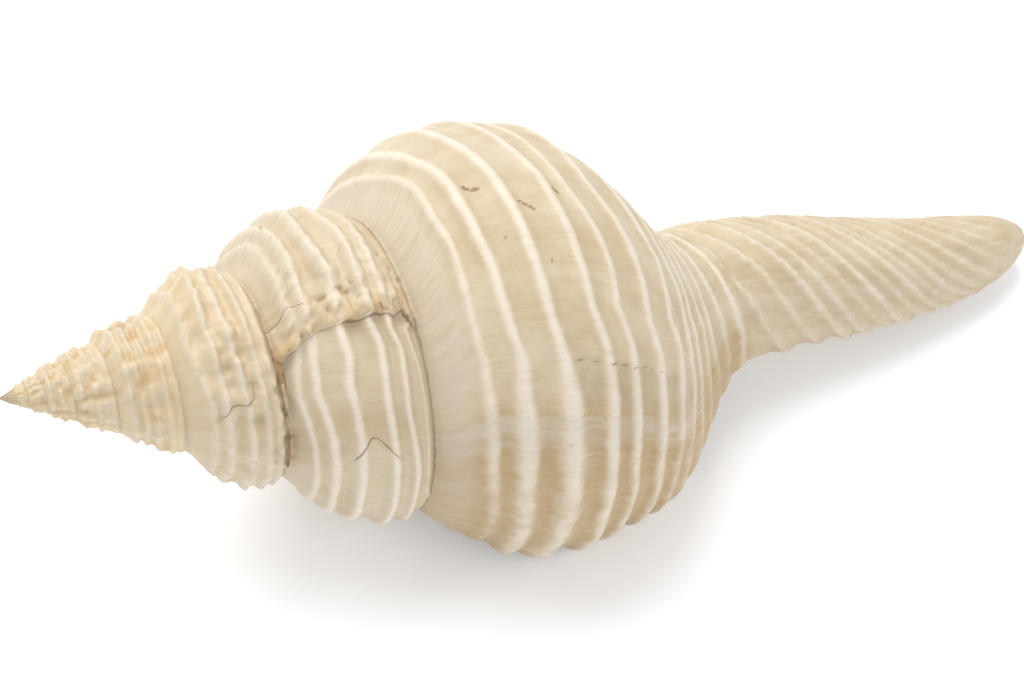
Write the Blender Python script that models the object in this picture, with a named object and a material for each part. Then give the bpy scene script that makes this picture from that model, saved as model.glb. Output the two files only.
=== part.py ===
"""A spindle-shaped conch shell, lying on its mouth as one solid.

The shell is one wall of calcium carbonate that coiled round an axis while it grew.
Its shape is worked out in millimetres in the shell's own frame: x runs along the axis from
the tip of the spire to the end of the canal, and theta is the angle coiled so far, in
radians. Theta grows towards the mouth, and is 0 on the last whorl where it faces the viewer.
The finished solid is then turned and lowered onto the ground, where it lies on its lip,
its belly and its canal.
"""

from math import cos, exp, log, pi, radians, sin, sqrt

import bpy
from mathutils import Matrix, Vector

MM = 0.001
TURN = 2 * pi

# Driving dimensions in millimetres
SHELL_LENGTH = 190.5
SUTURE_REACH = 57.8
NECK_REACH = 120.0
NECK_RADIUS = 12.0
CANAL_RADIUS = 11.8
WALL = 2.2
LIP_EDGE = 0.9
CALLUS = 0.4
SLIT_WIDTH = 3.6

# How the shell coils
WHORL_RATIO = 1.53
NECK_RATIO = 1.30
SPIRE_TURNS = 6.8
SPIRE_SLOPE = 0.445
SPIRE_BEND = 97.0
LIP_ANGLE = radians(92)
MOUTH_DEPTH = radians(250)
GROOVE_DEPTH = radians(48)
GROOVE_FLOOR = 0.30
MOUTH_RUNGS = 26
MOUTH_SHARES = (0.0, 0.03, 0.09, 0.2, 0.34, 0.5, 0.66, 0.83, 1.0)
ROWS_PER_TURN = 32

# How full each whorl is between its two sutures
BULGE = 0.65
BULGE_POWER = 0.78
SIDE_SWING = 0.24
SIDE_BULGE = 0.10

# Raised spiral cords: where each crest runs, as a share of the whorl or of the belly
WHORL_CORDS = (0.21, 0.35, 0.555, 0.78, 0.915)
EARLY_CORDS = (0.14, 0.26, 0.45, 0.69, 0.85)
BASE_CORDS = (0.08, 0.25, 0.36, 0.47, 0.58, 0.70, 0.86)
CANAL_CORDS = 27
CANAL_START = -4
CANAL_CORD_STEP = 1.031
CANAL_CORD_DRIFT = 0.035
WHORL_CORD_HALF = 0.052
BASE_CORD_HALF = 0.045
BODY_CORD_HEIGHT = 0.75
CANAL_CORD_HEIGHT = 0.45

# Knobs on the early whorls
KNOBS_PER_TURN = 11
KNOB_SHARE = 0.075

# The healed break: the older edge stands proud of the newer shell beyond it
BREAK_STEP = 1.1
BREAK_HEAL = radians(110)

# How it lies: rolled about its axis, then its canal end dipped to the ground
ROLL = radians(-53.1)
DIP = radians(11.9)


def ease(low, high, value):
    """Smooth ramp from 0 at low to 1 at high."""
    share = min(max((value - low) / (high - low), 0.0), 1.0)
    return share * share * (3 - 2 * share)


def suture(theta):
    """Reach along the axis and radius of the seam above the whorl."""
    reach = SUTURE_REACH * exp(log(WHORL_RATIO) / TURN * theta - 0.02 * sin(theta))
    radius = SPIRE_SLOPE * reach / (1 + (reach / SPIRE_BEND) ** 4) ** 0.25
    return reach, radius


def neck(theta):
    """Reach and radius where the body narrows into the canal."""
    reach = NECK_REACH * exp(log(NECK_RATIO) / TURN * theta - 0.004 * sin(theta))
    return reach, NECK_RADIUS * reach / NECK_REACH


def whorl_profile(theta, share):
    """The whorl's side, from its upper seam at share 0 to its lower seam at share 1."""
    upper_reach, upper_radius = suture(theta)
    lower_reach, lower_radius = suture(theta + TURN)
    height = lower_reach - upper_reach
    swing = sin(theta) ** 2
    bulge = (BULGE + SIDE_BULGE * swing) * height
    radius = upper_radius + (lower_radius - upper_radius) * share
    radius += bulge * share ** (BULGE_POWER + SIDE_SWING * swing) * (1 - share)
    return upper_reach + height * share, radius


def base_profile(theta, share):
    """The belly below the lower seam, from share 0 at the seam to share 1 at the neck."""
    upper_reach, upper_radius = suture(theta)
    seam_reach, seam_radius = suture(theta + TURN)
    neck_reach, neck_radius = neck(theta)
    length = neck_reach - seam_reach
    seam_slope = (seam_radius - upper_radius) / (seam_reach - upper_reach)
    seam_slope -= BULGE + SIDE_BULGE * sin(theta) ** 2
    fullness = 1 + 0.35 * ease(0.2, 1.5, theta)
    falloff = 0.5 * (1 + cos(pi * share ** fullness))
    radius = neck_radius + (seam_radius - neck_radius) * falloff
    radius += seam_slope * length * share * (1 - share) ** 4
    radius += 0.054 * length * share ** 2 * (1 - share)
    return seam_reach + length * share, radius


def canal_radius(reach):
    """The canal tapers and ends in a rounded nose."""
    beyond = reach - NECK_REACH
    radius = CANAL_RADIUS - 0.035 * beyond - 0.0009 * beyond ** 2
    nose = min(max((reach - (SHELL_LENGTH - 10)) / 10, 0.0), 0.97)
    return radius * sqrt(1 - nose ** 2)


def canal_profile(theta, reach):
    """The canal from the neck to its end."""
    neck_reach, neck_radius = neck(theta)
    blend = exp(-(reach - neck_reach) / 12)
    return reach, canal_radius(reach) + (neck_radius - canal_radius(neck_reach)) * blend


def profile(theta, place):
    """Side for place 0 to 1, belly for 1 to 2, then canal by its share of the neck's reach."""
    if place <= 1:
        return whorl_profile(theta, place)
    if place <= 2:
        return base_profile(theta, place - 1)
    return canal_profile(theta, min(neck(theta)[0] * (place - 1), SHELL_LENGTH))


def ridge(distance, half_width):
    """Height share of a flat-topped cord at a distance from its crest."""
    return min(max((1 - abs(distance) / half_width) / 0.55, 0.0), 1.0)


def whorl_crests(theta):
    """Crests on a whorl's side: they creep toward the lower seam along the last turn."""
    late = ease(-1.15 * TURN, 0, theta)
    return [early + (last - early) * late for early, last in zip(EARLY_CORDS, WHORL_CORDS)]


def cord_height(theta, place):
    """How far the cords stand above the plain side at a place."""
    if place <= 1:
        share = max(ridge(place - crest, WHORL_CORD_HALF) for crest in whorl_crests(theta))
        return share * BODY_CORD_HEIGHT * min(suture(theta)[1] / 17, 1)
    if place <= 2:
        share = max(ridge(place - 1 - crest, BASE_CORD_HALF) for crest in BASE_CORDS)
        return share * BODY_CORD_HEIGHT * (1 - 0.35 * (place - 1))
    steps = (log(place - 1) - CANAL_CORD_DRIFT * theta) / log(CANAL_CORD_STEP)
    fade = 1 - ease(184, 190, neck(theta)[0] * (place - 1))
    return CANAL_CORD_HEIGHT * 0.5 * (1 - cos(TURN * steps)) * fade


def knob_height(theta, place):
    """Blunt knobs round the middle of the early whorls."""
    if place > 1:
        return 0.0
    early = 1 - ease(-3.4 * TURN, -2.2 * TURN, theta)
    wave = 0.5 * (1 + cos(KNOBS_PER_TURN * theta))
    return early * KNOB_SHARE * suture(theta)[0] * wave * sin(pi * place)


def break_edge(place):
    """Where, along the coil, the old broken edge crosses each place on the whorl before last."""
    return radians(-370 + 12 * (1 - ease(0.03, 0.22, place)) + 60 * (1 - ease(0, 0.04, place)))


def break_height(theta, place):
    """The old edge stands proud, and the new shell starts low and grows back to size."""
    if place > 1:
        return 0.0
    past = theta - break_edge(place)
    if past < 0:
        return 0.45 * BREAK_STEP * ease(-radians(60), 0, past)
    return -0.55 * BREAK_STEP * (1 - ease(0, BREAK_HEAL, past))


def wall_point(theta, place):
    """Reach and radius of the outer surface, with all that stands up on it."""
    reach, radius = profile(theta, place)
    radius += cord_height(theta, place) + knob_height(theta, place) + break_height(theta, place)
    return reach, radius


def slit_gap(reach, radius):
    """Angle that the open slit takes out of the canal's wall."""
    return SLIT_WIDTH * ease(100, 128, reach) / max(radius, 2.5)


def canal_lift(reach):
    """The canal bows a little away from the mouth side and turns up at its end."""
    end_rise = 3.0 * (max(reach - 160, 0.0) / 31) ** 2
    return end_rise + 1.3 * ease(105, 122, reach) - 0.8 * ease(135, 155, reach)


def at(angle, reach, radius):
    """Point in the shell's own frame at an angle round the axis."""
    return Vector((reach, -radius * cos(angle), -radius * sin(angle) + canal_lift(reach)))


def outer_point(theta, place):
    """Point on the outside of the shell."""
    reach, radius = wall_point(theta, place)
    middle = LIP_ANGLE - pi
    angle = theta
    if theta > LIP_ANGLE - TURN - 1e-6:
        angle = middle + (theta - middle) * (1 - slit_gap(reach, radius) / TURN)
    return at(angle, reach, radius)


def whorl_places(theta):
    """Places across a whorl's side: more of them where the cords are large."""
    turns_back = (LIP_ANGLE - theta) / TURN
    if turns_back > 3 + 1e-6:
        return [0.0, 0.15, 0.4, 0.65, 0.88]
    crests = whorl_crests(theta)
    if turns_back > 2 + 1e-6:
        steps = [0.0, 0.06]
        for first, second in zip(crests, crests[1:] + [1.05]):
            steps += [first, (first + second) / 2]
        return steps
    steps = [0.0, 0.05]
    for crest in crests:
        half = WHORL_CORD_HALF
        steps += [crest - half, crest - 0.45 * half, crest + 0.45 * half, crest + half]
    return steps


def lower_places(theta):
    """Places over the belly and canal of the last whorl, and a label that each keeps from row to row."""
    places = [1.0]
    for crest in BASE_CORDS:
        half = BASE_CORD_HALF
        places += [1 + crest - half, 1 + crest, 1 + crest + half]
    labels = [1 + spot / len(places) for spot in range(len(places))]
    neck_reach = neck(theta)[0]
    for count in range(CANAL_START, CANAL_START + 2 * CANAL_CORDS):
        share = CANAL_CORD_STEP ** (count / 2) * exp(CANAL_CORD_DRIFT * theta)
        if 1.004 < share < (SHELL_LENGTH - 7) / neck_reach:
            places.append(1 + share)
            labels.append(3 + count / 100)
    for spot, short_of_end in enumerate((4.5, 2.2, 0.3)):
        places.append(1 + (SHELL_LENGTH - short_of_end) / neck_reach)
        labels.append(5 + spot)
    return places, labels


class Skin:
    """Collects points and faces of one closed surface."""

    def __init__(self):
        self.points = []
        self.faces = []

    def add(self, point):
        self.points.append(point)
        return len(self.points) - 1

    def face(self, *corners):
        kept = [corner for spot, corner in enumerate(corners) if corner not in corners[:spot]]
        if len(kept) > 2:
            self.faces.append(kept)

    def zip_rows(self, first, second, first_steps, second_steps):
        """Fill between two rows of points that may differ in number."""
        a = 0
        b = 0
        while a < len(first) - 1 or b < len(second) - 1:
            a_next = first_steps[a + 1] if a < len(first) - 1 else 1e9
            b_next = second_steps[b + 1] if b < len(second) - 1 else 1e9
            if abs(a_next - b_next) < 1e-6:
                self.face(first[a], first[a + 1], second[b + 1], second[b])
                a += 1
                b += 1
            elif a_next < b_next:
                self.face(first[a], first[a + 1], second[b])
                a += 1
            else:
                self.face(first[a], second[b + 1], second[b])
                b += 1


def coil_outside(skin):
    """Outer surface row by row, from the lip back to the tip of the spire."""
    row_count = int(SPIRE_TURNS * ROWS_PER_TURN)
    seams = []
    for index in range(row_count + 1):
        theta = LIP_ANGLE - TURN * index / ROWS_PER_TURN
        seams.append(skin.add(outer_point(theta, 0.0)))
    rows = []
    for index in range(row_count + 1):
        theta = LIP_ANGLE - TURN * index / ROWS_PER_TURN
        places = whorl_places(theta)
        labels = [spot / len(places) for spot in range(len(places))]
        row = [seams[index]] + [skin.add(outer_point(theta, place)) for place in places[1:]]
        if index > ROWS_PER_TURN:
            row.append(seams[index - ROWS_PER_TURN])
            labels.append(1.0)
        else:
            lower, lower_labels = lower_places(theta)
            row.append(seams[0] if index == ROWS_PER_TURN else skin.add(outer_point(theta, 1.0)))
            row += [skin.add(outer_point(theta, place)) for place in lower[1:]]
            places = places + lower
            labels += lower_labels
        rows.append((row, places, labels))
    for (row, places, labels), (back_row, back_places, back_labels) in zip(rows, rows[1:]):
        if labels[-1] > 1 and back_labels[-1] == 1:
            side = labels.index(1.0) + 1
            skin.zip_rows(row[:side], back_row, labels[:side], back_labels)
        else:
            skin.zip_rows(row, back_row, labels, back_labels)
    return rows, seams


def close_spire(skin, rows, seams):
    """A blunt tip over the first tiny whorl."""
    tip = skin.add(at(0.0, 0.4, 0.0))
    rim = seams[-ROWS_PER_TURN - 1:] + rows[-1][0][1:]
    for near, far in zip(rim, rim[1:]):
        skin.face(near, far, tip)


def canal_share(reach):
    """0 in the body's hollow, 1 in the open groove of the canal."""
    return ease(100, 124, reach)


def inside_outer(theta, place, share):
    """Point under the outer wall, a share of the way into the hollow."""
    reach, radius = profile(theta, place)
    groove = canal_share(reach)
    depth = MOUTH_DEPTH + (GROOVE_DEPTH - MOUTH_DEPTH) * groove
    inner_theta = theta - depth * share
    reach, radius = profile(inner_theta, place)
    if place > 2:
        reach = neck(theta)[0] * (place - 1)
        reach, radius = canal_profile(inner_theta, reach)
    wall = LIP_EDGE + (WALL - LIP_EDGE) * ease(0, 0.06, share)
    hollow = radius - wall * (1.15 if place < 0.3 else 1.0)
    trough = (radius - 0.7) * (1 - share) + GROOVE_FLOOR * radius * share
    start = inner_theta - 0.5 * slit_gap(reach, radius) * (1 - share)
    return at(start, reach + wall * 0.5 * (1 - ease(0.1, 0.5, place)), hollow + (trough - hollow) * groove)


def inside_inner(theta, place, share):
    """Point on the pillar side of the hollow."""
    back = theta - TURN
    reach, radius = profile(back, place)
    groove = canal_share(reach)
    depth = MOUTH_DEPTH + (GROOVE_DEPTH - MOUTH_DEPTH) * groove
    inner_theta = back - depth * share
    pillar_reach, pillar_radius = profile(inner_theta, min(place, 2.0))
    if place > 2:
        pillar_reach = reach
        pillar_radius = canal_profile(inner_theta, reach)[1]
    pillar = pillar_radius + CALLUS * (1 - groove)
    trough = (pillar_radius - 0.7) * (1 - share) + GROOVE_FLOOR * pillar_radius * share
    start = inner_theta + 0.5 * slit_gap(reach, radius) * (1 - share)
    return at(start, pillar_reach, pillar + (trough - pillar) * groove)


def hollow_mouth(skin, rows):
    """The lip's edge, the hollow behind it and the groove of the canal."""
    lip_row, lip_places, lip_labels = rows[0]
    back_row, back_places, back_labels = rows[ROWS_PER_TURN]
    start = back_labels.index(1.0)
    back_row = back_row[start:]
    lip_reach = [profile(LIP_ANGLE, place)[0] for place in lip_places]
    back_reach = [profile(LIP_ANGLE - TURN, place)[0] for place in back_places[start:]]
    ladder = [rung / MOUTH_RUNGS for rung in range(1, MOUTH_RUNGS + 1)]
    outer_rows = []
    inner_rows = []
    first_reach = lip_reach[0]
    span = SHELL_LENGTH - 0.3 - first_reach
    for share in MOUTH_SHARES:
        corner_theta = LIP_ANGLE - MOUTH_DEPTH * share
        corner_reach, corner_radius = suture(corner_theta)
        tuck = 0.5 + 2.6 * ease(0, 0.06, share)
        corner = skin.add(at(corner_theta, corner_reach + tuck, corner_radius - 0.1 * tuck))
        outer = [corner]
        inner = [corner]
        for along in ladder:
            reach = first_reach + span * along
            outer.append(skin.add(inside_outer(LIP_ANGLE, place_of(LIP_ANGLE, reach), share)))
            inner.append(skin.add(inside_inner(LIP_ANGLE, place_of(LIP_ANGLE - TURN, reach), share)))
        outer_rows.append(outer)
        inner_rows.append(inner)
    rung_reach = [first_reach] + [first_reach + span * along for along in ladder]
    skin.zip_rows(outer_rows[0], lip_row, rung_reach, lip_reach)
    skin.zip_rows(back_row, inner_rows[0], back_reach, rung_reach)
    for near, far in zip(outer_rows, outer_rows[1:]):
        skin.zip_rows(far, near, rung_reach, rung_reach)
    for near, far in zip(inner_rows, inner_rows[1:]):
        skin.zip_rows(near, far, rung_reach, rung_reach)
    skin.zip_rows(inner_rows[-1], outer_rows[-1], rung_reach, rung_reach)
    nose = [row[-1] for row, places, labels in rows[:ROWS_PER_TURN + 1]]
    groove_end = [row[-1] for row in outer_rows] + [row[-1] for row in reversed(inner_rows)]
    nose_steps = [index / (len(nose) - 1) for index in range(len(nose))]
    groove_steps = [index / (len(groove_end) - 1) for index in range(len(groove_end))]
    skin.zip_rows(groove_end, nose, groove_steps, nose_steps)


def place_of(theta, reach):
    """The place on a row that lies at a given reach along the axis."""
    seam_reach = suture(theta)[0]
    lower_reach = suture(theta + TURN)[0]
    neck_reach = neck(theta)[0]
    if reach <= lower_reach:
        return max((reach - seam_reach) / (lower_reach - seam_reach), 0.0)
    if reach <= neck_reach:
        return 1 + (reach - lower_reach) / (neck_reach - lower_reach)
    return 1 + reach / neck_reach


def lay_down(mesh):
    """Turn the shell to the way it lies, and centre it over the origin on the ground."""
    turn = Matrix.Rotation(DIP, 4, "Y") @ Matrix.Rotation(ROLL, 4, "X")
    mesh.transform(turn @ Matrix.Scale(MM, 4))
    low = Vector(min(vertex.co[axis] for vertex in mesh.vertices) for axis in range(3))
    high = Vector(max(vertex.co[axis] for vertex in mesh.vertices) for axis in range(3))
    mesh.transform(Matrix.Translation(-Vector(((low.x + high.x) / 2, (low.y + high.y) / 2, low.z))))


def shell_material():
    """Chalky cream shell with a faint satin."""
    material = bpy.data.materials.new("cream_shell")
    material.use_nodes = True
    shader = material.node_tree.nodes["Principled BSDF"]
    shader.inputs["Base Color"].default_value = (0.78, 0.68, 0.53, 1)
    shader.inputs["Roughness"].default_value = 0.55
    shader.inputs["Metallic"].default_value = 0.0
    return material


def build_shell():
    """The whole shell as one closed solid."""
    skin = Skin()
    rows, seams = coil_outside(skin)
    close_spire(skin, rows, seams)
    hollow_mouth(skin, rows)
    mesh = bpy.data.meshes.new("shell")
    mesh.from_pydata(skin.points, [], skin.faces)
    mesh.update()
    lay_down(mesh)
    mesh.materials.append(shell_material())
    shell = bpy.data.objects.new("shell", mesh)
    bpy.context.scene.collection.objects.link(shell)
    return shell


for old in list(bpy.data.objects):
    bpy.data.objects.remove(old)
build_shell()
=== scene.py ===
"""A spindle-shaped conch shell lying on its mouth, in its finished looks.

Lengths are in millimetres in the shell's own frame until the last step: x runs along the axis
from the tip of the spire to the end of the canal, and theta is the angle coiled so far. Theta is
0 on the last whorl where it faces the viewer, and it grows towards the lip. A place across a
whorl runs from 0 at its upper seam to 1 at its lower seam, on to 2 at the neck of the canal.
"""

from math import cos, log, pi, radians, sin

import bpy
import numpy as np
from mathutils import Matrix, Vector


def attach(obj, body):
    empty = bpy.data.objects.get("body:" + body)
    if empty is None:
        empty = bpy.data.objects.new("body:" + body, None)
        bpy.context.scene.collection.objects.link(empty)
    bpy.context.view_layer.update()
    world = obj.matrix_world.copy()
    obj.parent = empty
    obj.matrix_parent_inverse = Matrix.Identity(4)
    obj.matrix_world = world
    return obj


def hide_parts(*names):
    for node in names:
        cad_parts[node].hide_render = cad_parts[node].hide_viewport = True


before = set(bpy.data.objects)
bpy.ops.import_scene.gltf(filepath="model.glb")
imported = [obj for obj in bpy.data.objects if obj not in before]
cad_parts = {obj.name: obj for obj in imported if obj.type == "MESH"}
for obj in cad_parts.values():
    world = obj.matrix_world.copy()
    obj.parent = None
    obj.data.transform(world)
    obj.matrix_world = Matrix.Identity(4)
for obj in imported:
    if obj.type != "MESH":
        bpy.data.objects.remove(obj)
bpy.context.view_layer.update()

# The coil
# The animal laid down one wall of calcium carbonate at its lip while it turned round an axis.
# Each turn is 1.53 times as far from the tip as the one before, and the tube wraps the older one.
TURN = 2 * pi
SHELL_LENGTH = 190.5
SEAM_REACH = 57.8
NECK_REACH = 120.0
NECK_RADIUS = 12.0
CANAL_RADIUS = 11.8
WHORL_RATIO = 1.53
NECK_RATIO = 1.30
SPIRE_SLOPE = 0.445
SPIRE_BEND = 97.0
LIP_ANGLE = radians(92)


def ease(low, high, value):
    """Smooth ramp from 0 at low to 1 at high."""
    share = np.clip((value - low) / (high - low), 0, 1)
    return share * share * (3 - 2 * share)


def seam(theta):
    """Reach and radius of the seam above the whorl."""
    reach = SEAM_REACH * np.exp(log(WHORL_RATIO) / TURN * theta - 0.02 * np.sin(theta))
    return reach, SPIRE_SLOPE * reach / (1 + (reach / SPIRE_BEND) ** 4) ** 0.25


def neck(theta):
    """Reach and radius where the body narrows into the canal."""
    reach = NECK_REACH * np.exp(log(NECK_RATIO) / TURN * theta - 0.004 * np.sin(theta))
    return reach, NECK_RADIUS * reach / NECK_REACH


def whorl_side(theta, share):
    """The whorl's plain side between its two seams."""
    upper_reach, upper_radius = seam(theta)
    lower_reach, lower_radius = seam(theta + TURN)
    height = lower_reach - upper_reach
    swing = np.sin(theta) ** 2
    radius = upper_radius + (lower_radius - upper_radius) * share
    radius = radius + (0.65 + 0.10 * swing) * height * share ** (0.78 + 0.24 * swing) * (1 - share)
    return upper_reach + height * share, radius


def belly(theta, share):
    """The plain belly from the lower seam down to the neck."""
    upper_reach, upper_radius = seam(theta)
    seam_reach, seam_radius = seam(theta + TURN)
    neck_reach, neck_radius = neck(theta)
    length = neck_reach - seam_reach
    slope = (seam_radius - upper_radius) / (seam_reach - upper_reach)
    slope = slope - 0.65 - 0.10 * np.sin(theta) ** 2
    fullness = 1 + 0.35 * ease(0.2, 1.5, theta)
    radius = neck_radius + (seam_radius - neck_radius) * 0.5 * (1 + np.cos(pi * share ** fullness))
    radius = radius + slope * length * share * (1 - share) ** 4
    radius = radius + 0.054 * length * share ** 2 * (1 - share)
    return seam_reach + length * share, radius


def canal_radius(reach):
    """The canal's taper, with its rounded end."""
    beyond = reach - NECK_REACH
    nose = np.clip((reach - (SHELL_LENGTH - 10)) / 10, 0, 0.97)
    return (CANAL_RADIUS - 0.035 * beyond - 0.0009 * beyond ** 2) * np.sqrt(1 - nose ** 2)


def canal(theta, reach):
    """The plain canal at a reach along the axis."""
    neck_reach, neck_radius = neck(theta)
    blend = np.exp(-(reach - neck_reach) / 12)
    return reach, canal_radius(reach) + (neck_radius - canal_radius(neck_reach)) * blend


def plain_wall(theta, place):
    """Reach and radius of the plain wall at any place."""
    side_reach, side_radius = whorl_side(theta, np.clip(place, 0, 1))
    belly_reach, belly_radius = belly(theta, np.clip(place - 1, 0, 1))
    tube = np.minimum(neck(theta)[0] * np.maximum(place - 1, 1), SHELL_LENGTH)
    tube_reach, tube_radius = canal(theta, tube)
    reach = np.where(place <= 1, side_reach, np.where(place <= 2, belly_reach, tube_reach))
    radius = np.where(place <= 1, side_radius, np.where(place <= 2, belly_radius, tube_radius))
    return reach, radius


def place_of(theta, reach):
    """The place on a row that lies at a reach along the axis."""
    upper = seam(theta)[0]
    lower = seam(theta + TURN)[0]
    narrow = neck(theta)[0]
    side = np.maximum((reach - upper) / (lower - upper), 0)
    return np.where(reach <= lower, side,
                    np.where(reach <= narrow, 1 + (reach - lower) / (narrow - lower), 1 + reach / narrow))


def slit_gap(reach, radius):
    """Angle that the open slit of the canal takes out of its wall."""
    return 3.6 * ease(100, 128, reach) / np.maximum(radius, 2.5)


def at(angle, reach, radius):
    """Points at an angle round the axis, with the canal bowed a little off it."""
    lift = 3.0 * (np.maximum(reach - 160, 0) / 31) ** 2
    lift = lift + 1.3 * ease(105, 122, reach) - 0.8 * ease(135, 155, reach)
    return np.stack(np.broadcast_arrays(reach, -radius * np.cos(angle), -radius * np.sin(angle) + lift), -1)


# The spiral cords
# Raised cords run along the coil, five on each whorl's side, eight on the belly and more on the canal.
# They are narrow threads at first, shift at a pause in growth, and then swell to broad corrugations.
SIDE_CORDS = (
    ((-1200, -807, -760, -737, -714, -698, -655, -424, -408, -385, -365, -352, -342, -330, -319, -300,
      -90, -65, -49, -20, -2, 8, 37, 56, 92),
     (0.16, 0.20, 0.15, 0.12, 0.18, 0.24, 0.23, 0.18, 0.16, 0.14, 0.16, 0.11, 0.10, 0.14, 0.17, 0.18,
      0.17, 0.19, 0.225, 0.215, 0.195, 0.213, 0.215, 0.24, 0.27)),
    ((-1200, -791, -763, -739, -708, -655, -420, -400, -381, -366, -355, -344, -334, -325, -314,
      -76, -60, -40, -10, -1, 9, 38, 56, 92),
     (0.33, 0.41, 0.37, 0.33, 0.37, 0.40, 0.29, 0.27, 0.24, 0.25, 0.22, 0.20, 0.24, 0.28, 0.30,
      0.30, 0.32, 0.35, 0.34, 0.342, 0.362, 0.355, 0.37, 0.41)),
    ((-1200, -780, -752, -734, -703, -655, -424, -401, -388, -368, -357, -347, -336, -327, -300,
      -80, -60, -41, -10, -1, 9, 38, 55, 92),
     (0.52, 0.60, 0.58, 0.55, 0.60, 0.62, 0.49, 0.46, 0.49, 0.44, 0.45, 0.41, 0.43, 0.45, 0.46,
      0.51, 0.52, 0.55, 0.54, 0.542, 0.563, 0.57, 0.555, 0.56)),
    ((-1200, -780, -703, -655, -419, -398, -386, -370, -360, -342, -324,
      -90, -52, -38, -20, -2, 8, 36, 53, 92),
     (0.72, 0.78, 0.78, 0.79, 0.68, 0.71, 0.70, 0.65, 0.69, 0.67, 0.69,
      0.73, 0.745, 0.785, 0.78, 0.765, 0.793, 0.77, 0.765, 0.80)),
    ((-1200, -655, -389, -365, -358, -336, -312, -90, -56, -31, -20, -8, -1, 8, 39, 92),
     (0.88, 0.91, 0.82, 0.79, 0.83, 0.82, 0.86, 0.87, 0.88, 0.915, 0.942, 0.935, 0.91, 0.943, 0.92, 0.93)),
    ((-1200, -380, -364, -350, -300, -250, 92), (1.3, 1.3, 0.92, 0.955, 0.955, 1.3, 1.3)))
BELLY_CORDS = (
    ((-268, -90, -37, -17, -6, 4, 13, 25, 44, 61, 92),
     (0.06, 0.07, 0.07, 0.12, 0.11, 0.08, 0.11, 0.10, 0.085, 0.105, 0.11)),
    ((-268, -90, -22, -14, 4, 14, 28, 48, 92), (0.21, 0.24, 0.28, 0.305, 0.25, 0.29, 0.25, 0.225, 0.24)),
    ((-268, -90, -17, -4, 8, 17, 35, 49, 92), (0.33, 0.36, 0.41, 0.415, 0.39, 0.40, 0.35, 0.33, 0.34)),
    ((-268, -90, -14, 5, 14, 35, 92), (0.44, 0.46, 0.51, 0.48, 0.50, 0.45, 0.45)),
    ((-268, -90, -14, 5, 14, 35, 92), (0.54, 0.57, 0.60, 0.58, 0.60, 0.56, 0.55)),
    ((-268, -90, -14, 5, 92), (0.64, 0.66, 0.70, 0.68, 0.66)),
    ((-268, -90, 0, 92), (0.77, 0.79, 0.80, 0.78)),
    ((-268, -90, 0, 92), (0.90, 0.92, 0.925, 0.91)))
CANAL_CORDS = (0.89, 0.999, 1.05, 1.097, 1.13, 1.165, 1.198, 1.233, 1.266, 1.292, 1.322, 1.354, 1.397, 1.445, 1.49,
               1.54, 1.595, 1.65, 1.71, 1.77, 1.84, 1.91, 1.98, 2.06, 2.14, 2.22)
CANAL_STRENGTH = (0.5, 0.9, 0.9, 1.1, 1.0, 0.75, 1.15, 0.8, 1.05, 0.75, 0.9, 0.7, 0.9, 0.75, 0.7,
                  0.6, 0.65, 0.6, 0.7, 0.6, 0.65, 0.55, 0.65, 0.6, 0.55, 0.5)


def rough(first, second, grain, seed):
    """Smooth deterministic lumps of one size, from -1 to 1, over two lengths in mm."""
    table = np.random.default_rng(seed).uniform(-1, 1, (64, 64))
    column = first / grain + 1000.3
    line = second / grain + 1000.7
    left = np.floor(column).astype(int)
    low = np.floor(line).astype(int)
    across = column - left
    up = line - low
    across = across * across * (3 - 2 * across)
    up = up * up * (3 - 2 * up)
    lower = table[left % 64, low % 64] * (1 - across) + table[(left + 1) % 64, low % 64] * across
    upper = table[left % 64, (low + 1) % 64] * (1 - across) + table[(left + 1) % 64, (low + 1) % 64] * across
    return lower * (1 - up) + upper * up


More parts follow.
